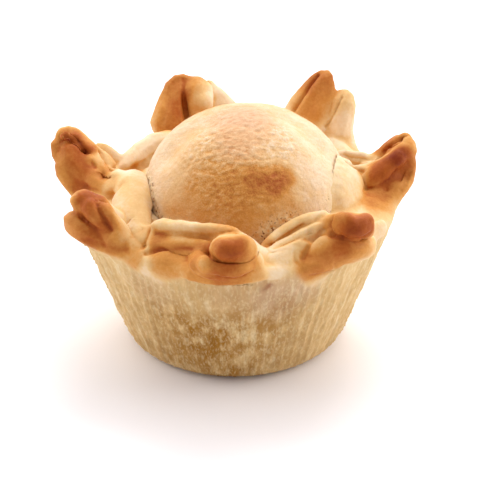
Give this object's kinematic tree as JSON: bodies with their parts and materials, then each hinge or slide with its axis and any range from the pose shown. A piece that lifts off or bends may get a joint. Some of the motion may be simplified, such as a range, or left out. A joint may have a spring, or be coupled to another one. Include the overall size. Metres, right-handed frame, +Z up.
{
  "type": "chicken pie",
  "caption": "Single-serving pie with a fluted, tapered pastry case, a domed browned lid and a crown of pinched folds round the rim.",
  "frame": {"origin": "centre of the flat base", "axes": "+Z up through the middle of the lid, -Y towards the front of the pie as pictured, +X to its right"},
  "size_m": [0.0922, 0.09, 0.0607],
  "materials": {
    "case_crust": "matte baked shortcrust, pale gold with browned fold tips",
    "lid_crust": "matte baked shortcrust, browned on the crown of the dome"
  },
  "bodies": {
    "root": {"pastry_case": "case_crust", "pastry_lid": "lid_crust"}
  },
  "joints": []
}
